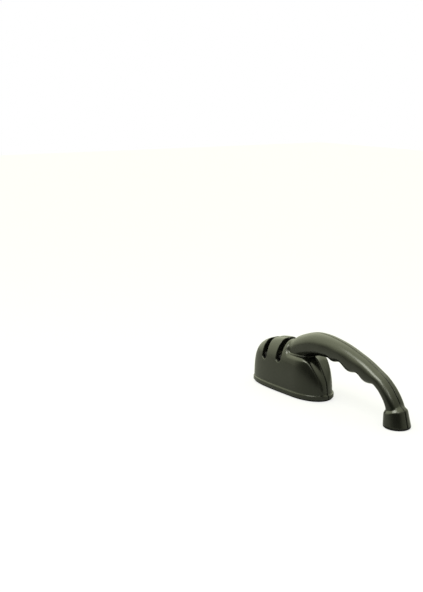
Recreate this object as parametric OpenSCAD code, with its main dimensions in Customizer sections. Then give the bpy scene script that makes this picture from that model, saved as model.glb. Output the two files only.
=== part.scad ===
// Two-stage pull-through blade sharpener: a rounded body with two guide slots,
// an arched finger-grip handle and a round steadying foot.
// Millimetres, +Z up, +X from the nose to the foot, origin on the resting plane
// at the middle of the length.

/* [Body] */
// Length of the body, nose tip to the rear of its skirt
body_length = 103.4; // [101:0.1:106]
// Width of the body over its skirt
body_width = 43.8; // [42:0.1:46]
// Height of the crown over the resting plane
body_height = 54.8; // [53:0.1:57]
// Wall thickness of the moulded shells
wall = 2.4; // [2:0.1:2.8]
// Height of the flared skirt round the foot of the body
skirt_height = 5.2; // [4:0.1:7]
// How far the skirt flares at the rear
skirt_flare = 1.8; // [1:0.1:3]
// Distance from the rear of the body to the middle of the foot
foot_reach = 89.1; // [87:0.1:92]

/* [Handle] */
// Height of the handle's centre line at the top of the arch
arch_height = 57.4; // [56:0.1:60]
// Half thickness of the handle where it leaves the body
root_thickness = 12; // [11.6:0.1:12.8]
// Half thickness of the handle at its thinnest, in the bend above the foot
ankle_thickness = 6.5; // [6.2:0.1:7.5]
// Half width of the handle at the same place
ankle_width = 9.6; // [8.8:0.1:10.4]
// Height of the finger lobes on the grip
lobe_height = 1.7; // [0.6:0.1:2]
// Distance between finger lobes
lobe_pitch = 22.4; // [20:0.1:24]

/* [Foot] */
// Outer radius of the foot at its base
foot_radius = 13.1; // [12.6:0.1:14.5]
// Height of the foot up to where the handle stands on it
foot_height = 18.4; // [17.4:0.1:19.2]
// Taper of the foot on each side, in degrees
foot_taper = 7; // [4:0.5:8]
// Lean of the foot towards the body, in degrees
foot_lean = 9; // [5:0.5:10]
// Tilt of the foot's shoulder, in degrees
shoulder_tilt = 13; // [9:0.5:15]

/* [Blade slots] */
// Distance from the nose to the middle of the coarse slot
coarse_slot_place = 24.9; // [24:0.1:26]
// Distance between the two slots
slot_pitch = 22.2; // [21.6:0.1:23]
// Width of each slot
slot_width = 6.6; // [5:0.1:7.4]
// Height of the coarse slot's sill
coarse_sill = 30; // [29:0.1:31]
// Height of the fine slot's sill
fine_sill = 32; // [30.5:0.1:33]

/* [Sharpening rollers] */
// Radius of an abrasive disc
disc_radius = 5; // [4.6:0.1:5.1]
// Thickness of an abrasive disc
disc_thickness = 1.6; // [1.2:0.1:2]
// Gap left beside each disc where the two rows interleave
disc_gap = 0.2; // [0.15:0.05:0.4]
// Sharpening angle on each side of the blade, in degrees
edge_angle = 20; // [17:0.5:24]
// Radius of the roller shafts
shaft_radius = 1.6; // [1.2:0.1:1.8]
// Radius of the spacers between discs
spacer_radius = 3.2; // [2.6:0.1:3.6]
// Radial running clearance of the shafts in the cradle
running_clearance = 0.05; // [0.03:0.01:0.1]
// Height of the shafts over the sill of their slot
shaft_rise = 0.4; // [0:0.1:1]

/* [Cradles] */
// Length of a cradle along the body
cradle_length = 20.6; // [20.2:0.1:21.2]
// Thickness of the cradle's end cheeks
cheek = 2; // [1.6:0.1:2.4]
// Distance between the inner faces of the two cheeks
cheek_span = 22; // [21:0.1:23]
// Thickness of the cradle's floor
cradle_floor = 2.2; // [1.8:0.1:2.6]

/* [Base] */
// Thickness of the soft pads under the body and the foot
pad_thickness = 1.8; // [1.2:0.1:2.4]
// How far the pads stand back from the shell's outer edge
pad_inset = 1.1; // [0.6:0.1:1.6]
// Thickness of the plate that closes the body
plate_thickness = 2.2; // [1.8:0.1:3]
// Gap round the plate and the foot plug
fit_gap = 0.2; // [0.1:0.05:0.3]

/* [Fasteners] */
// Radius of a screw's shank
screw_radius = 1.3; // [1.1:0.1:1.5]
// Radius of a screw's head
screw_head = 2.4; // [2.2:0.1:2.7]
// Height of a screw's head
screw_head_height = 1.3; // [1:0.1:1.6]
// Radius of the bosses that take the screws
boss_radius = 3.2; // [3:0.1:3.6]
// Radius of the pins that locate one shell on the other
dowel_radius = 1.5; // [1.2:0.1:1.8]

/* [Hidden] */
$fn = 48;

// Places along the length
overall_length = body_length + foot_reach + foot_radius;
nose_x = -overall_length / 2;
rear_x = nose_x + body_length;
foot_x = rear_x + foot_reach;
coarse_x = nose_x + coarse_slot_place;
fine_x = coarse_x + slot_pitch;

// The two sharpening stages: place along the body and height of the sill
function coarse_stage() = [coarse_x, coarse_sill];
function fine_stage() = [fine_x, fine_sill];
function stages() = [coarse_stage(), fine_stage()];
function axle_z(stage) = stage[1] + shaft_rise;

// Rollers: the two rows interleave, and their rims cross at the sharpening angle
shaft_spacing = 2 * disc_radius * cos(edge_angle);
disc_pitch = 2 * (disc_thickness + disc_gap);
press_clearance = 0.02;
end_play = 0.3;

// Cradles stand under their slots on posts of the base plate
disc_floor_gap = 2.2;
function floor_top(stage) = axle_z(stage) - disc_radius - disc_floor_gap;
cheek_rise = 4.2;
cheek_chamfer = 3;
guide_throat = 1.5;
guide_mouth = 2.6;
cradle_screw_side = cheek_span / 2 - screw_head - fit_gap;
cradle_screw_length = 9;

// Screws up into the shells near the nose and the rear: place, half spacing and rib length
base_screw_length = 9;
base_boss_height = 9;
rib = 1.6;
function base_screw_places() = [[nose_x + 8.8, 7, 7], [rear_x - 13.2, 7.5, 7.2]];

// Dowels across the seam: place, height and length of the post behind each
post_radius = 2.8;
dowel_length = 3;
function grip_dowel(k) =
    let(here = handle_line()[k])
    [foot_x + here[0], here[1], here[3] - wall / 2];
function dowel_places() = [
    [nose_x + 8.4, 22, 12.6],
    [(coarse_x + fine_x) / 2, body_height - 9.3, 12.5],
    [rear_x - 22.4, 30, 16.4],
    grip_dowel(6),
    grip_dowel(9),
    [foot_x - 1, 10.4, foot_radius - 2.2],
];

// Low deck behind the fine slot, where the handle leaves the body
deck_x = fine_x + slot_width / 2 + 5.8;
deck_z = 42;
deck_corner = 5;

// Finger scoops each side of the rear fin: straight grooves that run down and close on the seam,
// placed where they pass the height of the deck
scoop_back = 13;
scoop_side = 6.5;
scoop_fall = 46;
scoop_toe = 13.5;
scoop_radius = 6.7;

// Boot: height of its wall on the axis, slope of its shoulder, and the plug that closes it
wall_top = foot_height - 3.6;
shoulder_slope = 50;
foot_lean_shift = 0.3;
plug_hub = 4;
plug_hub_height = 5;

// Plan of the body: a blunt superellipse at the nose and a rounder one at the rear
rear_share = 0.326;
middle_x = rear_x - rear_share * body_length;
nose_squareness = 3.55;
rear_squareness = 2.15;
plan_steps = 30;

// The body stands inside its skirt by these amounts at the nose, side and rear
nose_flare = 0.6;
side_flare = 1.2;

// Squareness of the dome over the nose, the sides and the rear:
// 1 = plan^across + height^up
nose_dome = [3, 4.4];
side_dome = [2.4, 3.65];
rear_dome = [1, 2.45];

// Heights at which the dome is drawn, as shares of the crown's height
dome_levels = [0.16, 0.26, 0.36, 0.46, 0.56, 0.65, 0.73, 0.8, 0.86, 0.91, 0.95, 0.975, 0.99, 0.998];

function power(base, exponent) = base <= 0 ? 0 : pow(base, exponent);
function signed_power(base, exponent) = sign(base) * power(abs(base), exponent);
function mix(a, b, share) = a + (b - a) * share;
function smooth(t) = let(s = min(1, max(0, t))) s * s * (3 - 2 * s);

// Value that goes from the rear's at 0 degrees through the side's at 90 to the nose's at 180
function round_body(rear, side, nose, angle) = mix(side, cos(angle) > 0 ? rear : nose, pow(cos(angle), 2));

// One point of the body's plan at an angle from the rear, shrunk towards the middle by reach
function plan_point(angle, inset, reach) =
    let(squareness = cos(angle) < 0 ? nose_squareness : rear_squareness)
    let(length = cos(angle) < 0 ? middle_x - nose_x : rear_x - middle_x)
    [middle_x + (length - inset) * reach * signed_power(cos(angle), 2 / squareness),
     -(body_width / 2 - inset) * reach * power(sin(angle), 2 / squareness)];

// Share of the plan that is left at a share of the crown's height
function dome_reach(angle, height) =
    let(across = round_body(rear_dome[0], side_dome[0], nose_dome[0], angle))
    let(up = round_body(rear_dome[1], side_dome[1], nose_dome[1], angle))
    power(1 - power(min(height, 1), up), 1 / across);

// Ring of the body at one height, drawn as half a plan from the rear to the nose
function body_ring(z, inset, skirt) = [
    for (i = [0:plan_steps])
        let(angle = 180 * i / plan_steps)
        let(flare = round_body(skirt_flare, side_flare, nose_flare, angle) * (1 - skirt))
        let(p = plan_point(angle, inset + flare, dome_reach(angle, z / (body_height - inset))))
        [p[0], i == 0 || i == plan_steps ? (inset > 0 ? 1 : 0) : p[1], z]
];

// Rings of the body, inset from the outer surface, from its lower edge up to the crown
function body_rings(inset) = concat(
    [for (level = [[inset > 0 ? -1 : 0, 1], [0.55, 1], [0.85, 0.6], [1, 0]])
        body_ring(pad_thickness + level[0] * skirt_height, inset, level[1])],
    [for (share = dome_levels) body_ring(share * (body_height - inset), inset, 0)]
);

// Line of the handle: place ahead of the foot's middle, height, half thickness and half width
function handle_line() = [
    [-138.5, arch_height - 21.4, root_thickness, root_thickness + 0.7],
    [-128.5, arch_height - 10, root_thickness, root_thickness + 0.6],
    [-117.5, arch_height - 4.4, root_thickness, root_thickness + 0.6],
    [-106.5, arch_height - 1, root_thickness - 0.2, root_thickness + 0.3],
    [-94.5, arch_height, root_thickness - 0.8, root_thickness],
    [-81.5, arch_height - 0.8, root_thickness - 1.4, root_thickness - 0.7],
    [-68.5, arch_height - 3.3, root_thickness - 1.5, root_thickness - 1.1],
    [-55.5, arch_height - 7, root_thickness - 1.7, root_thickness - 1.5],
    [-43.2, arch_height - 10.5, root_thickness - 2.6, root_thickness - 1.9],
    [-31.5, arch_height - 14.9, ankle_thickness + 1.7, ankle_width + 0.2],
    [-20.2, arch_height - 19.4, ankle_thickness + 0.2, ankle_width - 0.4],
    [-11.6, arch_height - 26.8, ankle_thickness, ankle_width],
    [-5.3, foot_height + 3.7, ankle_thickness + 0.4, ankle_width + 0.2],
    [-1.7, foot_height - 5.4, ankle_thickness + 1.7, ankle_width],
    [-0.7, foot_height - 12, ankle_thickness + 1.9, ankle_width - 0.8],
];
handle_steps = 3;

// Smooth curve through a list of points, at a place counted in points
function curve(points, place) =
    let(last = len(points) - 1)
    let(k = min(floor(place), last - 1))
    let(t = place - k)
    let(before = points[max(k - 1, 0)])
    let(after = points[min(k + 2, last)])
    let(from_slope = (points[k + 1] - before) / 2)
    let(to_slope = (after - points[k]) / 2)
    points[k] * (2 * t * t * t - 3 * t * t + 1) + from_slope * (t * t * t - 2 * t * t + t)
    + points[k + 1] * (3 * t * t - 2 * t * t * t) + to_slope * (t * t * t - t * t);

// Lobes under the grip, counted back from the body, fading out at both ends
function lobe(x) =
    let(first = rear_x + 9)
    let(turn = (x - first) / lobe_pitch)
    let(fade = smooth((turn + 0.5) * 2) * smooth((2.85 - turn) * 2))
    lobe_height * fade * cos(360 * turn);

// Ring of the handle: half a rounded section from its top round the left side to its underside
ring_steps = 16;
section_squareness = 2.3;
function handle_ring(place, inset) =
    let(line = handle_line())
    let(here = curve(line, place))
    let(ahead = curve(line, place + 0.02))
    let(behind = curve(line, place - 0.02))
    let(step = [ahead[0] - behind[0], ahead[1] - behind[1]])
    let(along = step / norm(step))
    let(half = here[2] - inset)
    [for (i = [0:ring_steps])
        let(turn = 180 * i / ring_steps)
        let(under = (1 - cos(turn)) / 2)
        let(up = half * signed_power(cos(turn), 2 / section_squareness) - lobe(foot_x + here[0]) * under * under)
        let(out = (here[3] - inset) * power(sin(turn), 2 / section_squareness))
        [foot_x + here[0] - along[1] * up, i == 0 || i == ring_steps ? (inset > 0 ? 1 : 0) : -out,
         here[1] + along[0] * up]];
function handle_rings(inset) = [
    for (i = [handle_steps * (len(handle_line()) - 1) - 1:-1:1]) handle_ring(i / handle_steps, inset)
];

// Closed solid through rings of equally many points
module loft(rings) {
    rows = len(rings);
    count = len(rings[0]);
    sides = [
        for (i = [0:rows - 2], j = [0:count - 1], part = [0, 1])
            let(a = i * count + j)
            let(b = i * count + (j + 1) % count)
            part == 0 ? [a, b, b + count] : [a, b + count, a + count]
    ];
    first = [for (j = [1:count - 2]) [0, j + 1, j]];
    last = [for (j = [1:count - 2]) [0, j, j + 1] + (rows - 1) * count * [1, 1, 1]];
    polyhedron([for (ring = rings) each ring], concat(sides, first, last), convexity = 6);
}

module half_body(inset) loft(body_rings(inset));
module half_handle(inset) loft(handle_rings(inset));

// Space above the low deck behind the fine slot, where the handle lies
module above_deck(inset) {
    corner = deck_corner + inset;
    x = deck_x - inset;
    z = deck_z - inset;
    top = 2 * arch_height;
    bend = [for (i = [0:8]) [x + corner * (1 - cos(90 * i / 8)), z + corner * (1 - sin(90 * i / 8))]];
    translate([0, body_width, 0])
        rotate([90, 0, 0])
            linear_extrude(2 * body_width)
                polygon(concat([[x, top]], bend, [[rear_x + 10, z], [rear_x + 10, top]]));
}

// Finger scoop on the left of the rear fin
module scoop(growth) {
    reach = 2 * body_height;
    translate([rear_x - scoop_back, -scoop_side, deck_z])
        rotate([0, 90 + scoop_fall, scoop_toe])
            cylinder(r = scoop_radius + growth, h = reach, center = true);
}

// Slot with a rounded sill that a blade is drawn through
module blade_slot(x, sill) {
    round = slot_width / 2;
    translate([x, 0, sill + round]) {
        rotate([90, 0, 0]) cylinder(r = round, h = 2 * body_width, center = true);
        translate([-round, -body_width, 0]) cube([slot_width, 2 * body_width, body_height]);
    }
}

// Walls inside the body that guide the blade down to the rollers, from over the discs to the crown
channel_wall = 1.6;
channel_lift = 0.6;
module slot_walls(stage) {
    span = slot_width + 2 * channel_wall;
    low = axle_z(stage) + disc_radius + channel_lift;
    intersection() {
        half_body(0);
        translate([stage[0] - span / 2, -body_width, low]) cube([span, 2 * body_width, body_height]);
    }
}

// Boot at the end of the handle: a wall round a leaning axis under a shoulder that tilts further
module leaning(angle) {
    translate([foot_x, 0, 0]) rotate([0, -angle, 0]) children();
}
function boot_radius(z) = foot_radius - (z - pad_thickness) * tan(foot_taper);
module boot_wall(low, high, inset) {
    leaning(foot_lean) translate([0, 0, low])
        cylinder(r1 = boot_radius(low) - inset, r2 = boot_radius(high) - inset, h = high - low);
}
module boot_shoulder(inset) {
    top = boot_radius(wall_top) - inset;
    translate([-wall_top * tan(foot_lean), 0, wall_top]) leaning(shoulder_tilt) translate([0, 0, -2 * foot_radius])
        cylinder(r1 = top + 2 * foot_radius / tan(shoulder_slope), r2 = 0, h = 2 * foot_radius + top * tan(shoulder_slope));
}
module boot_outside() {
    intersection() {
        boot_wall(-foot_radius / 4, foot_height + foot_radius, 0);
        boot_shoulder(0);
        boot_wall(-foot_radius / 4, foot_height, -foot_radius);
    }
}
module boot_inside() {
    intersection() {
        boot_wall(-foot_radius, wall_top, wall);
        boot_shoulder(wall);
    }
}

// Everything on the left of the seam and above the shell's lower edge
module left_side() {
    reach = 2 * overall_length;
    translate([-reach / 2, -reach, pad_thickness]) cube([reach, reach, reach]);
}

// One moulded half: body, handle and boot, open at the seam and underneath
module half_shell(has_pins) {
    difference() {
        union() {
            difference() {
                union() {
                    difference() {
                        half_body(0);
                        above_deck(0);
                        scoop(0);
                    }
                    half_handle(0);
                    intersection() {
                        boot_outside();
                        left_side();
                    }
                }
                difference() {
                    half_body(wall);
                    above_deck(wall);
                    scoop(wall);
                }
                half_handle(wall);
                boot_inside();
            }
            for (stage = stages()) slot_walls(stage);
            for (place = dowel_places()) dowel_post(place, has_pins);
            for (place = base_screw_places()) base_boss(place);
        }
        for (stage = stages()) blade_slot(stage[0], stage[1]);
        if (!has_pins) for (place = dowel_places()) dowel_socket(place);
        for (place = base_screw_places()) base_pilot(place);
    }
}

// Post that stands on the shell's wall and meets the other shell's post at the seam
module dowel_post(place, has_pins) {
    translate([place[0], 0, place[1]]) rotate([90, 0, 0]) {
        cylinder(r = post_radius, h = place[2]);
        if (has_pins) translate([0, 0, -dowel_length]) cylinder(r = dowel_radius, h = dowel_length + 1);
    }
}
module dowel_socket(place) {
    depth = dowel_length + fit_gap;
    translate([place[0], 1, place[1]]) rotate([90, 0, 0])
        cylinder(r = dowel_radius + running_clearance, h = depth + 1);
}

// Boss that takes a screw from under the base plate, tied to the end wall by a rib
plate_top = pad_thickness + plate_thickness;
module base_boss(place) {
    outward = place[0] < middle_x ? -1 : 1;
    translate([place[0], -place[1], plate_top]) {
        cylinder(r = boss_radius, h = base_boss_height);
        translate([outward > 0 ? 0 : -place[2], -rib / 2, 0]) cube([place[2], rib, base_boss_height]);
    }
}
module base_pilot(place) {
    translate([place[0], -place[1], plate_top - 1])
        cylinder(r = screw_radius, h = base_screw_length + 1);
}

module shell_left() {
    color([0.16, 0.16, 0.14]) half_shell(true);
}

module shell_right() {
    color([0.16, 0.16, 0.14]) mirror([0, 1, 0]) half_shell(false);
}

// Outline of the body's plan at an inset, both sides
module body_outline(inset) {
    side = [for (i = [0:2 * plan_steps]) plan_point(180 * i / (2 * plan_steps), inset, 1)];
    other = [for (i = [2 * plan_steps - 1:-1:1]) [side[i][0], -side[i][1]]];
    polygon(concat([[side[0][0], 0]], [for (i = [1:2 * plan_steps - 1]) side[i]],
        [[side[2 * plan_steps][0], 0]], other));
}

// Plate that closes the body, with the posts that carry the cradles
module base_plate() {
    color([0.13, 0.13, 0.13]) difference() {
        union() {
            translate([0, 0, pad_thickness])
                linear_extrude(plate_thickness) body_outline(wall + fit_gap);
            for (stage = stages(), side = [-1, 1])
                translate([stage[0], side * cradle_screw_side, plate_top])
                    cylinder(r = boss_radius, h = floor_top(stage) - cradle_floor - plate_top);
        }
        for (place = base_screw_places(), side = [-1, 1])
            translate([place[0], side * place[1], pad_thickness]) {
                translate([0, 0, -1]) cylinder(r = screw_head + fit_gap, h = screw_head_height + 1.1);
                cylinder(r = screw_radius + fit_gap, h = plate_thickness + 1);
            }
        for (stage = stages(), side = [-1, 1])
            translate([stage[0], side * cradle_screw_side, floor_top(stage) - cradle_screw_length])
                cylinder(r = screw_radius, h = cradle_screw_length + 1);
    }
}

module base_pad() {
    color([0.06, 0.06, 0.06]) linear_extrude(pad_thickness) body_outline(pad_inset);
}

// Screw with a flat head at the origin and its shank along -Z
module screw(length) {
    cylinder(r = screw_head, h = screw_head_height);
    translate([0, 0, -length]) cylinder(r = screw_radius, h = length);
}

module base_screws() {
    color([0.6, 0.6, 0.6])
        for (place = base_screw_places(), side = [-1, 1])
            translate([place[0], side * place[1], pad_thickness + screw_head_height + 0.1])
                rotate([180, 0, 0]) screw(base_screw_length);
}

module cradle_screws() {
    color([0.6, 0.6, 0.6])
        for (stage = stages(), side = [-1, 1])
            translate([stage[0], side * cradle_screw_side, floor_top(stage)]) screw(cradle_screw_length);
}

// Plug that closes the boot, with a hub that steadies it
plug_radius = boot_radius(plate_top) - wall - fit_gap - foot_lean_shift;
module foot_plug() {
    color([0.13, 0.13, 0.13]) translate([foot_x, 0, pad_thickness]) {
        cylinder(r = plug_radius, h = plate_thickness);
        cylinder(r = plug_hub, h = plug_hub_height);
    }
}

module foot_pad() {
    color([0.06, 0.06, 0.06]) translate([foot_x, 0, 0])
        cylinder(r = foot_radius - pad_inset - fit_gap, h = pad_thickness);
}

// Cradle: a floor between two cheeks that carry the shafts and guide the blade
module cradle(stage) {
    length = cradle_length / 2;
    low = floor_top(stage) - cradle_floor - axle_z(stage);
    high = cheek_rise;
    throat = stage[1] - axle_z(stage) - 0.4;
    profile = [
        [-length, low], [length, low], [length, high - cheek_chamfer], [length - cheek_chamfer, high],
        [guide_mouth, high], [guide_throat, throat], [-guide_throat, throat], [-guide_mouth, high],
        [cheek_chamfer - length, high], [-length, high - cheek_chamfer],
    ];
    translate([stage[0], 0, axle_z(stage)]) {
        for (side = [-1, 1])
            difference() {
                translate([0, side * (cheek_span + cheek) / 2, 0]) rotate([90, 0, 0])
                    linear_extrude(cheek, center = true) polygon(profile);
                for (row = [-1, 1])
                    translate([row * shaft_spacing / 2, 0, 0]) rotate([90, 0, 0])
                        cylinder(r = shaft_radius + running_clearance, h = 2 * cheek_span, center = true);
            }
        difference() {
            translate([-length, -cheek_span / 2 - cheek / 2, low])
                cube([cradle_length, cheek_span + cheek, cradle_floor]);
            for (side = [-1, 1])
                translate([0, side * cradle_screw_side, low - 1])
                    cylinder(r = screw_radius + fit_gap, h = cradle_floor + 2);
        }
    }
}

module coarse_cradle() color([0.75, 0.75, 0.72]) cradle(coarse_stage());
module fine_cradle() color([0.75, 0.75, 0.72]) cradle(fine_stage());

// Row of rollers: which side of the slot it is on and how many discs it has
front_row = [-1, 5];
rear_row = [1, 4];
module at_row(stage, row) {
    translate([stage[0] + row[0] * shaft_spacing / 2, 0, axle_z(stage)]) rotate([90, 0, 0]) children();
}
module ring(outer, length) {
    difference() {
        cylinder(r = outer, h = length, center = true);
        cylinder(r = shaft_radius + press_clearance, h = length + 1, center = true);
    }
}
module shaft(stage, row) {
    at_row(stage, row) cylinder(r = shaft_radius, h = cheek_span + 2 * cheek - 2 * fit_gap, center = true);
}
module discs(stage, row) {
    at_row(stage, row)
        for (i = [0:row[1] - 1])
            translate([0, 0, (i - (row[1] - 1) / 2) * disc_pitch]) ring(disc_radius, disc_thickness);
}
module spacers(stage, row) {
    stack = (row[1] - 1) * disc_pitch + disc_thickness;
    end = cheek_span / 2 - end_play - stack / 2;
    at_row(stage, row) {
        for (i = [0:row[1] - 2])
            translate([0, 0, (i - (row[1] - 2) / 2) * disc_pitch]) ring(spacer_radius, disc_pitch - disc_thickness);
        for (side = [-1, 1])
            translate([0, 0, side * (stack + end) / 2]) ring(spacer_radius, end);
    }
}

steel = [0.55, 0.55, 0.56];
carbide = [0.33, 0.33, 0.34];
ceramic = [0.9, 0.88, 0.82];
spacer_grey = [0.7, 0.7, 0.68];
module coarse_front_shaft() color(steel) shaft(coarse_stage(), front_row);
module coarse_front_discs() color(carbide) discs(coarse_stage(), front_row);
module coarse_front_spacers() color(spacer_grey) spacers(coarse_stage(), front_row);
module coarse_rear_shaft() color(steel) shaft(coarse_stage(), rear_row);
module coarse_rear_discs() color(carbide) discs(coarse_stage(), rear_row);
module coarse_rear_spacers() color(spacer_grey) spacers(coarse_stage(), rear_row);
module fine_front_shaft() color(steel) shaft(fine_stage(), front_row);
module fine_front_discs() color(ceramic) discs(fine_stage(), front_row);
module fine_front_spacers() color(spacer_grey) spacers(fine_stage(), front_row);
module fine_rear_shaft() color(steel) shaft(fine_stage(), rear_row);
module fine_rear_discs() color(ceramic) discs(fine_stage(), rear_row);
module fine_rear_spacers() color(spacer_grey) spacers(fine_stage(), rear_row);

shell_left();
shell_right();
base_plate();
base_pad();
base_screws();
foot_plug();
foot_pad();
coarse_cradle();
fine_cradle();
cradle_screws();
coarse_front_shaft();
coarse_front_discs();
coarse_front_spacers();
coarse_rear_shaft();
coarse_rear_discs();
coarse_rear_spacers();
fine_front_shaft();
fine_front_discs();
fine_front_spacers();
fine_rear_shaft();
fine_rear_discs();
fine_rear_spacers();
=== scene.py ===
"""Looks of the two-stage pull-through blade sharpener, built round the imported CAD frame.

The two moulded half shells are meshed from one implicit shape, with the same sizes as the
construction source but with rounded edges and a seam groove. The two soft pads are lofted with a
rounded lower edge. Every other piece keeps its CAD shape and gets its own material. All sizes are
in millimetres until a mesh is made.
"""
import math

import bpy
import numpy as np
import openvdb
from mathutils import Matrix, Vector


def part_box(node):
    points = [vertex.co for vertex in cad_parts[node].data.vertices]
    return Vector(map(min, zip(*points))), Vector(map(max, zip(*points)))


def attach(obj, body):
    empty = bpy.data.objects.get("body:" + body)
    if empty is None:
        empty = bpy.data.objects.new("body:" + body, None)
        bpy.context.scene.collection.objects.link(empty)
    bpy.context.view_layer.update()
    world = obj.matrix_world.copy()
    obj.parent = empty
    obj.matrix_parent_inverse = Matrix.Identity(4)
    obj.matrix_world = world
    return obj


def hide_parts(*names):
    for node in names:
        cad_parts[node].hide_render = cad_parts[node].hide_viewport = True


MM = 0.001
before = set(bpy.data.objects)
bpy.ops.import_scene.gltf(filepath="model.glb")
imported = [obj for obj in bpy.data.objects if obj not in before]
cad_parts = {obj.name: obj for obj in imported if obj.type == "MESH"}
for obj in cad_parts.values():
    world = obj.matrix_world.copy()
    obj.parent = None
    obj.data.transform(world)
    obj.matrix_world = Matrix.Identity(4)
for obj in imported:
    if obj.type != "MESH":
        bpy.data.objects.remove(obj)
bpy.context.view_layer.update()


def span(node):
    """Lowest and highest corner of a CAD node in millimetres."""
    low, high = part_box(node)
    return np.array(low) / MM, np.array(high) / MM


def middle(node):
    low, high = span(node)
    return (low + high) / 2


# ---------------------------------------------------------------- sizes from the frame
pad_low, pad_high = span("base_pad")
shell_low = span("shell_left")[0]
nose_x = shell_low[0]
body_length = 103.4
rear_x = nose_x + body_length
half_width = -shell_low[1]
body_height = 54.8
pad_thickness = shell_low[2]
foot_x = middle("foot_pad")[0]
foot_radius = 13.1
coarse_x = middle("coarse_cradle")[0]
fine_x = middle("fine_cradle")[0]
slot_width = 6.6
coarse_sill, fine_sill = 30.0, 32.0
wall = 2.4
channel_wall, channel_rise = 1.6, 6.0

# plan and dome of the body
rear_share = 0.326
middle_x = rear_x - rear_share * body_length
nose_squareness, rear_squareness = 3.55, 2.15
nose_flare, side_flare, rear_flare = 0.6, 1.2, 1.8
nose_dome, side_dome, rear_dome = (3.0, 4.4), (2.4, 3.65), (1.0, 2.45)
skirt_top = pad_thickness + 4.3

# deck behind the fine slot and the finger scoops
deck_x = fine_x + slot_width / 2 + 5.8
deck_z = 42.0
deck_corner = 5.0
scoop_place = (rear_x - 13.0, -6.5, deck_z)
scoop_fall, scoop_toe, scoop_radius = math.radians(46), math.radians(13.5), 6.7

# handle: height of its line, half thickness at the root, half thickness and width at the ankle
arch, root, ankle, ankle_width = 57.4, 12.0, 6.5, 9.6
foot_height = 18.4
lobe_height, lobe_pitch, lobe_start, lobe_count = 1.7, 22.4, 9.0, 2.85
section_squareness = 2.3
# each row: place before the foot, height, half thickness, half width
HANDLE_LINE = np.array([
    (-138.5, arch - 21.4, root, root + 0.7),
    (-128.5, arch - 10, root, root + 0.6),
    (-117.5, arch - 4.4, root, root + 0.6),
    (-106.5, arch - 1, root - 0.2, root + 0.3),
    (-94.5, arch, root - 0.8, root),
    (-81.5, arch - 0.8, root - 1.4, root - 0.7),
    (-68.5, arch - 3.3, root - 1.5, root - 1.1),
    (-55.5, arch - 7, root - 1.7, root - 1.5),
    (-43.2, arch - 10.5, root - 2.6, root - 1.9),
    (-31.5, arch - 14.9, ankle + 1.7, ankle_width + 0.2),
    (-20.2, arch - 19.4, ankle + 0.2, ankle_width - 0.4),
    (-11.6, arch - 26.8, ankle, ankle_width),
    (-5.3, foot_height + 3.7, ankle + 0.4, ankle_width + 0.2),
    (-1.7, foot_height - 5.4, ankle + 1.7, ankle_width),
    (-0.7, foot_height - 12, ankle + 1.9, ankle_width - 0.8),
])

# boot
foot_taper, foot_lean, shoulder_tilt, shoulder_slope = (math.radians(a) for a in (7, 9, 13, 50))
wall_top = foot_height - 3.6

# mesh: cell size, reach of the distances kept, room left round the shape, quads kept
VOXEL, REACH, ROOM, QUADS_KEPT = 0.45, 3.0, 1.5, 96_000
# distance that stands for anywhere far from a surface
FAR = 9.0

# roundings and fillets
RIM_ROUND, CREST_ROUND, SLOT_ROUND, SEAM_ROUND = 3.4, 5.0, 0.5, 0.45
LEDGE_FILLET, LEDGE_ROUND = 0.5, 0.35
ROOT_FILLET, FOOT_FILLET = 1.8, 0.5
SHOULDER_ROUND, FOOT_EDGE_ROUND, SHELL_EDGE_ROUND = 0.7, 0.3, 0.5
PAD_ROUND, PAD_ROUND_STEPS = 1.2, 7

# seam groove: half width, depth, and half gap behind it; how much each slot side opens
SEAM_GAP, SEAM_DEPTH, SEAM_TOUCH = 0.5, 1.0, 0.02
SLOT_EASE = 0.35


# ---------------------------------------------------------------- fields
def mix(a, b, share):
    """The way from a to b, by a share of it."""
    return a + (b - a) * share


def smooth(t):
    """0 before 0, 1 after 1 and an even curve between."""
    t = np.clip(t, 0, 1)
    return t * t * (3 - 2 * t)


def round_and(a, b, radius):
    """Both a and b, with their common outer edge rounded."""
    corner = np.hypot(np.maximum(a + radius, 0), np.maximum(b + radius, 0))
    return np.minimum(-radius, np.maximum(a, b)) + corner


def round_or(a, b, radius):
    """Either a or b, with a fillet where they meet."""
    corner = np.hypot(np.maximum(radius - a, 0), np.maximum(radius - b, 0))
    return np.maximum(radius, np.minimum(a, b)) - corner


def as_distance(field):
    """A smooth field divided by its slope, so that it counts millimetres near its surface."""
    slope = sum(g * g for g in np.gradient(field, VOXEL))
    return np.clip(field / np.sqrt(np.maximum(slope, 1e-8)), -FAR, FAR)


def plan_share(x, y, squareness, length, flare):
    """Share of the way from the middle of the plan to its edge."""
    ax = np.abs(x - middle_x) / (length - flare)
    ay = np.abs(y) / (half_width - flare)
    return (ax**squareness + ay**squareness) ** (1 / squareness)


def body_fields(x, y, z):
    """Signed distances of the domed body and of the skirt round its foot."""
    front = x < middle_x
    length = np.where(front, middle_x - nose_x, rear_x - middle_x)
    squareness = np.where(front, nose_squareness, rear_squareness)
    ax = (np.abs(x - middle_x) / length) ** squareness
    ay = (np.abs(y) / half_width) ** squareness
    endwise = ax / (ax + ay + 1e-9)

    def pick(rear, side, nose):
        """A value that goes from the side's to that of the nearer end."""
        return mix(side, np.where(front, nose, rear), endwise)

    flare = pick(rear_flare, side_flare, nose_flare)
    share = plan_share(x, y, squareness, length, flare)
    across = pick(rear_dome[0], side_dome[0], nose_dome[0])
    up = pick(rear_dome[1], side_dome[1], nose_dome[1])
    dome = as_distance(share**across + np.maximum(z / body_height, 0) ** up - 1)
    full = plan_share(x, y, squareness, length, 0) + 0 * z
    skirt = round_and(as_distance(full - 1), z - skirt_top, LEDGE_ROUND)
    return dome, skirt


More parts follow.
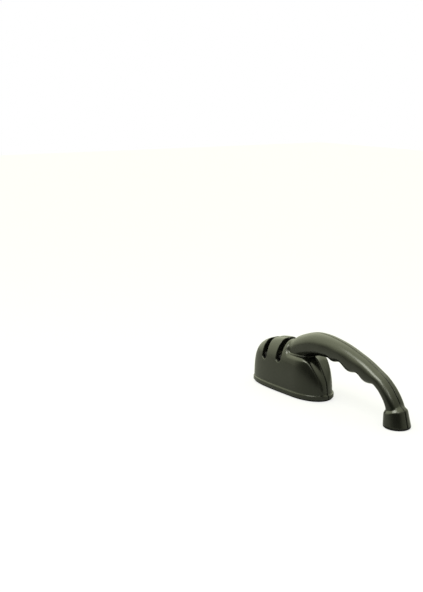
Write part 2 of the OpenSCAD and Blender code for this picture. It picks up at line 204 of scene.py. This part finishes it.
def handle_samples(steps=30):
    """Smooth line through the handle's rows, and its slopes."""
    points = HANDLE_LINE
    last = len(points) - 1
    rows = []
    for k in range(last):
        before, after = points[max(k - 1, 0)], points[min(k + 2, last)]
        m0, m1 = (points[k + 1] - before) / 2, (after - points[k]) / 2
        for t in np.arange(steps) / steps:
            rows.append(points[k] * (2 * t**3 - 3 * t * t + 1) + m0 * (t**3 - 2 * t * t + t)
                        + points[k + 1] * (3 * t * t - 2 * t**3) + m1 * (t**3 - t * t))
    # the line stops a third of a stretch short of its first and last row
    rows = np.array(rows)[steps // 3:-(steps // 3)]
    rows[:, 0] += foot_x
    return rows, np.gradient(rows, axis=0)


def handle_field(x, y, z):
    """The handle: a squared section along its line, with finger lobes on the lower side."""
    rows, slopes = handle_samples()
    tangent = slopes[:, :2] / np.hypot(slopes[:, 0], slopes[:, 1])[:, None]
    # nearest sample of the line for each place in the plane of the seam
    xs, zs = np.broadcast_arrays(x[:, 0, 0][:, None], z[0, 0][None, :])
    near = np.zeros(xs.shape, int)
    for i in range(xs.shape[0]):
        gap = (xs[i][:, None] - rows[None, :, 0]) ** 2 + (zs[i][:, None] - rows[None, :, 1]) ** 2
        near[i] = gap.argmin(1)
    # how far each place lies along and above the line there, and beyond its ends
    dx, dz = xs - rows[near, 0], zs - rows[near, 1]
    tx, tz = tangent[near, 0], tangent[near, 1]
    ahead = dx * tx + dz * tz
    above = dz * tx - dx * tz
    beyond = np.where(near == 0, -ahead, np.where(near == len(rows) - 1, ahead, -FAR))
    step = ahead / np.hypot(slopes[near, 0], slopes[near, 1])
    here = rows[near] + slopes[near] * np.clip(step, -0.5, 0.5)[..., None]
    # lobes fade in and out along the grip
    turn = (here[..., 0] - rear_x - lobe_start) / lobe_pitch
    fade = smooth((turn + 0.5) * 2) * smooth((lobe_count - turn) * 2)
    lobe = lobe_height * fade * np.cos(2 * math.pi * turn)
    thick, wide, flat = here[..., 2][:, None], here[..., 3][:, None], above[:, None]
    # they lift the lower side only, which settles in three rounds
    level = flat
    for _ in range(3):
        cos = np.sign(level) * np.clip(np.abs(level) / thick, 0, 1) ** (section_squareness / 2)
        level = flat + lobe[:, None] * ((1 - cos) / 2) ** 2
    share = (np.abs(level) / thick) ** section_squareness + (np.abs(y) / wide) ** section_squareness
    side = as_distance(share ** (1 / section_squareness) - 1)
    return np.maximum(side, beyond[:, None])


def leaned(x, z, place, angle):
    """Coordinates about an axis that leans towards the body."""
    dx, dz = x - place[0], z - place[1]
    return dx * math.cos(angle) + dz * math.sin(angle), dz * math.cos(angle) - dx * math.sin(angle)


def boot_field(x, y, z):
    """The round foot, leaning towards the body, with its sloped shoulder."""
    lx, lz = leaned(x, z, (foot_x, 0), foot_lean)
    radius = foot_radius - (lz - pad_thickness) * math.tan(foot_taper)
    side = (np.hypot(lx, y) - radius) * math.cos(foot_taper)
    top = foot_radius - (wall_top - pad_thickness) * math.tan(foot_taper)
    sx, sz = leaned(x, z, (foot_x - wall_top * math.tan(foot_lean), wall_top), shoulder_tilt)
    shoulder = (np.hypot(sx, y) - top + sz / math.tan(shoulder_slope)) * math.sin(shoulder_slope)
    boot = round_and(side, shoulder, SHOULDER_ROUND)
    return round_and(boot, pad_thickness - z + 0 * boot, FOOT_EDGE_ROUND)


def scoop_field(x, y, z):
    """Finger scoop: a straight groove that runs down the rear and closes on the seam."""
    level = math.cos(scoop_fall)
    way = (level * math.cos(scoop_toe), level * math.sin(scoop_toe), -math.sin(scoop_fall))
    dx, dy, dz = x - scoop_place[0], y - scoop_place[1], z - scoop_place[2]
    along = dx * way[0] + dy * way[1] + dz * way[2]
    return np.sqrt(np.maximum(dx * dx + dy * dy + dz * dz - along * along, 0)) - scoop_radius


def slot_field(x, z, place, sill):
    """A cross slot with a round bottom that stands on its sill and is open upwards."""
    half = slot_width / 2
    return np.hypot(x - place, np.minimum(z - sill - half, 0)) - half - SLOT_EASE


def shell_field(x, y, z):
    """The left half shell, hollow, with its slots, their walls, its deck, scoop and seam groove."""
    body, skirt = body_fields(x, y, z)
    above_deck = round_and(deck_x - x, deck_z - z, deck_corner)
    cut = round_or(above_deck + 0 * body, scoop_field(x, y, z), CREST_ROUND)
    body = round_and(body, -cut, RIM_ROUND)
    body = round_or(body, skirt, LEDGE_FILLET)
    outer = round_or(body, handle_field(x, y, z), ROOT_FILLET)
    outer = round_or(outer, boot_field(x, y, z), FOOT_FILLET)
    shell = np.maximum(outer, -(outer + wall))
    for place, sill in ((coarse_x, coarse_sill), (fine_x, fine_sill)):
        lining = np.abs(x - place) - slot_width / 2 - channel_wall
        channel = np.maximum(lining, sill + channel_rise - z)
        shell = np.minimum(shell, np.maximum(outer, channel))
        shell = round_and(shell, -slot_field(x, z, place, sill) + 0 * y, SLOT_ROUND)
    shell = round_and(shell, pad_thickness - z + 0 * shell, SHELL_EDGE_ROUND)
    edge = round_and(shell, y + SEAM_GAP + 0 * shell, SEAM_ROUND)
    tongue = np.maximum(np.maximum(shell, outer + SEAM_DEPTH), y + SEAM_TOUCH)
    return np.minimum(edge, tongue)


# ---------------------------------------------------------------- meshes
def new_object(name, points, faces):
    """Adds a mesh object with smooth shading."""
    mesh = bpy.data.meshes.new(name)
    mesh.from_pydata(np.asarray(points).tolist(), [], list(faces))
    mesh.update()
    mesh.shade_smooth()
    obj = bpy.data.objects.new(name, mesh)
    bpy.context.collection.objects.link(obj)
    return obj


def sample(grid, places):
    """Values of a grid at places counted in cells, blended from the eight cells around."""
    low = np.clip(np.floor(places).astype(int), 0, np.array(grid.shape[:3]) - 2)
    t = places - low
    total = 0
    for i in (0, 1):
        for j in (0, 1):
            for k in (0, 1):
                weight = (t[:, 0] if i else 1 - t[:, 0]) * (t[:, 1] if j else 1 - t[:, 1])
                weight = weight * (t[:, 2] if k else 1 - t[:, 2])
                total = total + weight[:, None] * grid[low[:, 0] + i, low[:, 1] + j, low[:, 2] + k]
    return total


def make_shells():
    """Meshes the left shell, mirrors it, and gives both the normals of the field."""
    top = math.ceil(arch + root + ROOM)
    origin = np.array([nose_x, -half_width, pad_thickness]) - ROOM
    end = np.array([foot_x + foot_radius + ROOM, ROOM, top])
    axes = [np.arange(a, b, VOXEL) for a, b in zip(origin, end)]
    x, y, z = axes[0][:, None, None], axes[1][None, :, None], axes[2][None, None, :]
    field = shell_field(x, y, z)
    grid = openvdb.FloatGrid(REACH)
    grid.copyFromArray(np.clip(field, -REACH, REACH).astype(np.float32))
    points, quads = grid.convertToQuads(0.0)
    left = new_object("shell_left_moulding", points * VOXEL + origin, quads.tolist())
    thin = left.modifiers.new("thin", "DECIMATE")
    thin.ratio = min(1.0, QUADS_KEPT / len(quads))
    bpy.context.view_layer.update()
    thinned = left.evaluated_get(bpy.context.evaluated_depsgraph_get())
    mesh = bpy.data.meshes.new_from_object(thinned)
    left.modifiers.clear()
    left.data = mesh
    right_mesh = mesh.copy()
    right = bpy.data.objects.new("shell_right_moulding", right_mesh)
    bpy.context.collection.objects.link(right)
    slopes = np.stack(np.gradient(field), axis=-1)
    places = np.array([v.co for v in mesh.vertices])
    normals = sample(slopes, (places - origin) / VOXEL)
    normals /= np.linalg.norm(normals, axis=1)[:, None] + 1e-9
    mesh.transform(Matrix.Scale(MM, 4))
    right_mesh.transform(Matrix.Scale(MM, 4) @ Matrix.Diagonal((1, -1, 1, 1)))
    right_mesh.flip_normals()
    for target, side in ((mesh, 1), (right_mesh, -1)):
        target.normals_split_custom_set_from_vertices((normals * (1, side, 1)).tolist())
        target.update()
    return left, right


shell_left, shell_right = make_shells()
for shell, node in ((shell_left, "shell_left"), (shell_right, "shell_right")):
    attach(shell, "sharpener")
    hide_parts(node)


def soft_pad(name, node, outline):
    """A pad with a rounded lower edge; outline gives its plan for an inset."""
    low, high = span(node)
    turns = np.linspace(0, math.pi / 2, PAD_ROUND_STEPS)
    levels = [(PAD_ROUND * (1 - math.sin(t)), low[2] + PAD_ROUND * (1 - math.cos(t)))
              for t in turns]
    levels.append((0.0, high[2]))
    rings = [outline(inset) for inset, _ in levels]
    count = len(rings[0])
    points = [(px, py, level[1]) for ring, level in zip(rings, levels) for px, py in ring]
    top = count * (len(rings) - 1)
    faces = [tuple(reversed(range(count))), tuple(range(top, top + count))]
    for start in range(0, top, count):
        for k in range(count):
            ahead = (k + 1) % count
            faces.append((start + k, start + ahead, start + count + ahead, start + count + k))
    pad = new_object(name, np.array(points) * MM, faces)
    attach(pad, "sharpener")
    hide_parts(node)
    return pad


def foot_outline(inset, steps=96):
    """The round plan of the foot."""
    turns = np.arange(steps) * 2 * math.pi / steps
    radius = foot_radius - inset
    return [(foot_x + radius * math.cos(t), radius * math.sin(t)) for t in turns]


def base_outline(inset, steps=240):
    """The plan of the body drawn in to the edge of the pad."""
    points = []
    for t in np.arange(steps) * 2 * math.pi / steps:
        cos, sin = math.cos(t), math.sin(t)
        front = cos < 0
        length = middle_x - pad_low[0] if front else pad_high[0] - middle_x
        power = 2 / (nose_squareness if front else rear_squareness)
        across = pad_high[1] - inset
        points.append((middle_x + math.copysign(abs(cos) ** power, cos) * (length - inset),
                       math.copysign(abs(sin) ** power, sin) * across))
    return points


base_pad = soft_pad("base_pad_soft", "base_pad", base_outline)
foot_pad = soft_pad("foot_pad_soft", "foot_pad", foot_outline)


# ---------------------------------------------------------------- materials
TINT_SCALE, ROUGHNESS_SCALE = 90.0, 60.0
# stretch of the noise over which a colour and a value change
TINT_START, TINT_END = 0.35, 0.65
VARY_START, VARY_END = 0.3, 0.7
GRAIN_DEPTH, GRAIN_STRENGTH = 0.00004, 0.3


def noise(tree, scale, detail=3.0):
    """A noise in the object's own space."""
    node = tree.nodes.new("ShaderNodeTexNoise")
    node.inputs["Scale"].default_value = scale
    node.inputs["Detail"].default_value = detail
    place = tree.nodes.new("ShaderNodeTexCoord")
    tree.links.new(place.outputs["Object"], node.inputs["Vector"])
    return node


def vary(tree, source, low, high, target):
    """Drives a value socket between low and high by a noise."""
    spread = tree.nodes.new("ShaderNodeMapRange")
    spread.inputs["From Min"].default_value = VARY_START
    spread.inputs["From Max"].default_value = VARY_END
    spread.inputs["To Min"].default_value = low
    spread.inputs["To Max"].default_value = high
    tree.links.new(source.outputs["Fac"], spread.inputs["Value"])
    tree.links.new(spread.outputs["Result"], target)


def tint(tree, source, first, second, target):
    """Drives a colour socket between two colours by a noise."""
    ramp = tree.nodes.new("ShaderNodeValToRGB")
    start, end = ramp.color_ramp.elements
    start.position, end.position = TINT_START, TINT_END
    start.color, end.color = (*first, 1), (*second, 1)
    tree.links.new(source.outputs["Fac"], ramp.inputs["Fac"])
    tree.links.new(ramp.outputs["Color"], target)


def grain(tree, shader, scale):
    """Fine bumps over the whole surface."""
    bump = tree.nodes.new("ShaderNodeBump")
    bump.inputs["Distance"].default_value = GRAIN_DEPTH
    bump.inputs["Strength"].default_value = GRAIN_STRENGTH
    source = noise(tree, scale, detail=4.0)
    tree.links.new(source.outputs["Fac"], bump.inputs["Height"])
    tree.links.new(bump.outputs["Normal"], shader.inputs["Normal"])


def finish(name, dark, light, rough, grain_scale, **sockets):
    """A material with a mottled colour and roughness, fine grain and other shader values."""
    made = bpy.data.materials.new(name)
    made.use_nodes = True
    tree = made.node_tree
    shader = tree.nodes["Principled BSDF"]
    shader.inputs["Base Color"].default_value = (*dark, 1)
    shader.inputs["Roughness"].default_value = sum(rough) / 2
    for socket, value in sockets.items():
        shader.inputs[socket.replace("_", " ")].default_value = value
    tint(tree, noise(tree, TINT_SCALE), dark, light, shader.inputs["Base Color"])
    vary(tree, noise(tree, ROUGHNESS_SCALE, detail=5.0), *rough, shader.inputs["Roughness"])
    grain(tree, shader, grain_scale)
    return made


def grey(level):
    return (level, level, level)


shell_plastic = finish(
    "shell_plastic", dark=(0.002, 0.0022, 0.0016), light=(0.003, 0.0033, 0.0023),
    rough=(0.22, 0.28), grain_scale=2200.0, IOR=1.6, Specular_Tint=(0.98, 1.0, 0.9, 1))
plate_plastic = finish(
    "plate_plastic", dark=grey(0.018), light=grey(0.025), rough=(0.5, 0.6), grain_scale=1500.0)
pad_rubber = finish(
    "pad_rubber", dark=grey(0.005), light=grey(0.008), rough=(0.75, 0.9), grain_scale=1800.0,
    Specular_IOR_Level=0.25)
cradle_plastic = finish(
    "cradle_plastic", dark=(0.05, 0.05, 0.048), light=(0.06, 0.06, 0.057),
    rough=(0.45, 0.55), grain_scale=1500.0)
spacer_plastic = finish(
    "spacer_plastic", dark=grey(0.05), light=grey(0.06), rough=(0.4, 0.5), grain_scale=1800.0)
coarse_grit = finish(
    "coarse_grit", dark=(0.05, 0.05, 0.052), light=(0.10, 0.10, 0.105),
    rough=(0.6, 0.8), grain_scale=6000.0)
fine_ceramic = finish(
    "fine_ceramic", dark=(0.30, 0.29, 0.26), light=(0.36, 0.35, 0.31),
    rough=(0.45, 0.6), grain_scale=7000.0)
steel = finish(
    "steel", dark=(0.40, 0.40, 0.41), light=(0.46, 0.46, 0.47),
    rough=(0.22, 0.34), grain_scale=2600.0, Metallic=1.0)


def dress(names, made):
    """Gives CAD nodes a material."""
    for name in names:
        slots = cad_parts[name].material_slots
        for slot in slots:
            slot.material = made
        if not slots:
            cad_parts[name].data.materials.append(made)


shell_left.data.materials.append(shell_plastic)
shell_right.data.materials.append(shell_plastic)
dress(["base_plate", "foot_plug"], plate_plastic)
base_pad.data.materials.append(pad_rubber)
foot_pad.data.materials.append(pad_rubber)
dress(["coarse_cradle", "fine_cradle"], cradle_plastic)
dress(["coarse_front_discs", "coarse_rear_discs"], coarse_grit)
dress(["fine_front_discs", "fine_rear_discs"], fine_ceramic)
dress([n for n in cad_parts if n.endswith("spacers")], spacer_plastic)
dress([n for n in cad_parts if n.endswith(("shaft", "screws"))], steel)


# ---------------------------------------------------------------- studio
FLOOR_SIZE, FLOOR_DROP = 6.0, 0.0002
# share of the floor seen by the camera that glows, its glow, and the paint of the rest
FLOOR_SHARE, FLOOR_GLOW, FLOOR_PAINT = 0.8, 0.92, 0.85
# floor that the object sees, with painted shade: grey below it, darker grey towards the camera, and
# where that is full
SHADE_BELOW, SHADE_AHEAD, SHADE_REACH = 0.36, 0.17, 0.25
AHEAD = (0.62, -0.78, 0.0)
# surroundings: tint, brightest side, and the dark room with the turns at which it starts and fills
SKY_TINT, SKY_SIDE = (0.96, 1.0, 0.74), (-0.45, -0.10, 0.89)
DARK_SIDE, DARK_START, DARK_FULL = (0.42, -0.80, -0.42), 0.15, 0.68
LAMP_AIM = Vector((0, 0, 0.03))


def lamp(name, size, place, power):
    """A rectangular softbox aimed at the object."""
    light = bpy.data.lights.new(name, "AREA")
    light.shape = "RECTANGLE"
    light.size, light.size_y = size
    light.energy = power
    obj = bpy.data.objects.new(name, light)
    obj.location = place
    obj.rotation_euler = (LAMP_AIM - Vector(place)).to_track_quat("-Z", "Y").to_euler()
    bpy.context.collection.objects.link(obj)


def studio_floor():
    """White to the camera, with the object's shadow; to other rays grey with painted shade, darker
    towards the camera.
    """
    half = FLOOR_SIZE / 2
    corners = [(-half, -half, 0), (half, -half, 0), (half, half, 0), (-half, half, 0)]
    floor = new_object("floor", corners, [(0, 1, 2, 3)])
    floor.location = (0, 0, -FLOOR_DROP)
    made = bpy.data.materials.new("floor_white")
    made.use_nodes = True
    tree = made.node_tree
    tree.nodes.clear()
    out = tree.nodes.new("ShaderNodeOutputMaterial")
    # painted shade: the floor that the object sees is grey, darker towards the camera
    painted_shade = tree.nodes.new("ShaderNodeBsdfDiffuse")
    spot = tree.nodes.new("ShaderNodeTexCoord")
    nearer = tree.nodes.new("ShaderNodeVectorMath")
    nearer.operation = "DOT_PRODUCT"
    nearer.inputs[1].default_value = AHEAD
    tree.links.new(spot.outputs["Object"], nearer.inputs[0])
    shade = tree.nodes.new("ShaderNodeMapRange")
    shade.inputs["From Max"].default_value = SHADE_REACH
    shade.inputs["To Min"].default_value = SHADE_BELOW
    shade.inputs["To Max"].default_value = SHADE_AHEAD
    tree.links.new(nearer.outputs["Value"], shade.inputs["Value"])
    tree.links.new(shade.outputs["Result"], painted_shade.inputs["Color"])
    glow = tree.nodes.new("ShaderNodeEmission")
    glow.inputs["Color"].default_value = (1, 1, 1, 1)
    glow.inputs["Strength"].default_value = FLOOR_GLOW
    seen = tree.nodes.new("ShaderNodeMixShader")
    seen.inputs["Fac"].default_value = FLOOR_SHARE
    shown = tree.nodes.new("ShaderNodeBsdfDiffuse")
    shown.inputs["Color"].default_value = (*grey(FLOOR_PAINT), 1)
    tree.links.new(shown.outputs[0], seen.inputs[1])
    tree.links.new(glow.outputs[0], seen.inputs[2])
    path = tree.nodes.new("ShaderNodeLightPath")
    either = tree.nodes.new("ShaderNodeMixShader")
    tree.links.new(path.outputs["Is Camera Ray"], either.inputs["Fac"])
    tree.links.new(painted_shade.outputs[0], either.inputs[1])
    tree.links.new(seen.outputs[0], either.inputs[2])
    tree.links.new(either.outputs[0], out.inputs["Surface"])
    floor.data.materials.append(made)


def facing(tree, source, towards, start, end):
    """How far the seen direction turns towards another one: 0 at start, 1 at end."""
    turned = tree.nodes.new("ShaderNodeVectorMath")
    turned.operation = "DOT_PRODUCT"
    turned.inputs[1].default_value = towards
    tree.links.new(source.outputs["Generated"], turned.inputs[0])
    share = tree.nodes.new("ShaderNodeMapRange")
    share.interpolation_type = "SMOOTHSTEP"
    share.inputs["From Min"].default_value = start
    share.inputs["From Max"].default_value = end
    tree.links.new(turned.outputs["Value"], share.inputs["Value"])
    return share


def studio_world(low, high, dark):
    """Surroundings that brighten upwards and to the left, with a dark room behind the camera."""
    world = bpy.data.worlds.new("studio")
    bpy.context.scene.world = world
    world.use_nodes = True
    tree = world.node_tree
    around = tree.nodes.new("ShaderNodeTexCoord")
    rise = facing(tree, around, SKY_SIDE, 0.0, 1.0)
    rise.inputs["To Min"].default_value = low
    rise.inputs["To Max"].default_value = high
    room = facing(tree, around, DARK_SIDE, DARK_START, DARK_FULL)
    room.inputs["To Min"].default_value = 1.0
    room.inputs["To Max"].default_value = dark
    strength = tree.nodes.new("ShaderNodeMath")
    strength.operation = "MULTIPLY"
    tree.links.new(rise.outputs["Result"], strength.inputs[0])
    tree.links.new(room.outputs["Result"], strength.inputs[1])
    back = tree.nodes["Background"]
    back.inputs["Color"].default_value = (*SKY_TINT, 1)
    tree.links.new(strength.outputs["Value"], back.inputs["Strength"])
    white = tree.nodes.new("ShaderNodeBackground")
    white.inputs["Color"].default_value = (1, 1, 1, 1)
    path = tree.nodes.new("ShaderNodeLightPath")
    either = tree.nodes.new("ShaderNodeMixShader")
    tree.links.new(path.outputs["Is Camera Ray"], either.inputs["Fac"])
    tree.links.new(back.outputs[0], either.inputs[1])
    tree.links.new(white.outputs[0], either.inputs[2])
    tree.links.new(either.outputs[0], tree.nodes["World Output"].inputs["Surface"])


studio_floor()
studio_world(low=0.64, high=2.4, dark=0.12)
lamp("softbox_top", size=(0.5, 0.4), place=(0.075, -0.425, 0.846), power=4.1)
lamp("softbox_side", size=(0.2, 0.2), place=(0.56, -0.22, 0.64), power=0.45)


# ---------------------------------------------------------------- camera
def camera():
    """A three-quarter view from the foot's end, a little from above."""
    place = Vector((635.7, -666.3, 315.0)) * MM
    azimuth, pitch, roll = (math.radians(a) for a in (51.1, 12.8, 0.8))
    sensor, lens = 36, 57.77027
    data = bpy.data.cameras.new("camera")
    data.sensor_fit = "VERTICAL"
    data.sensor_width = data.sensor_height = sensor
    data.lens = lens
    obj = bpy.data.objects.new("camera", data)
    bpy.context.collection.objects.link(obj)
    back = Vector((math.sin(azimuth) * math.cos(pitch), -math.cos(azimuth) * math.cos(pitch),
                   math.sin(pitch)))
    turn = (-back).to_track_quat("-Z", "Y").to_matrix() @ Matrix.Rotation(roll, 3, "Z")
    obj.matrix_world = Matrix.Translation(place) @ turn.to_4x4()
    data.clip_start, data.clip_end = 0.01, 20
    bpy.context.scene.camera = obj


camera()
bpy.context.scene.view_settings.view_transform = "Standard"
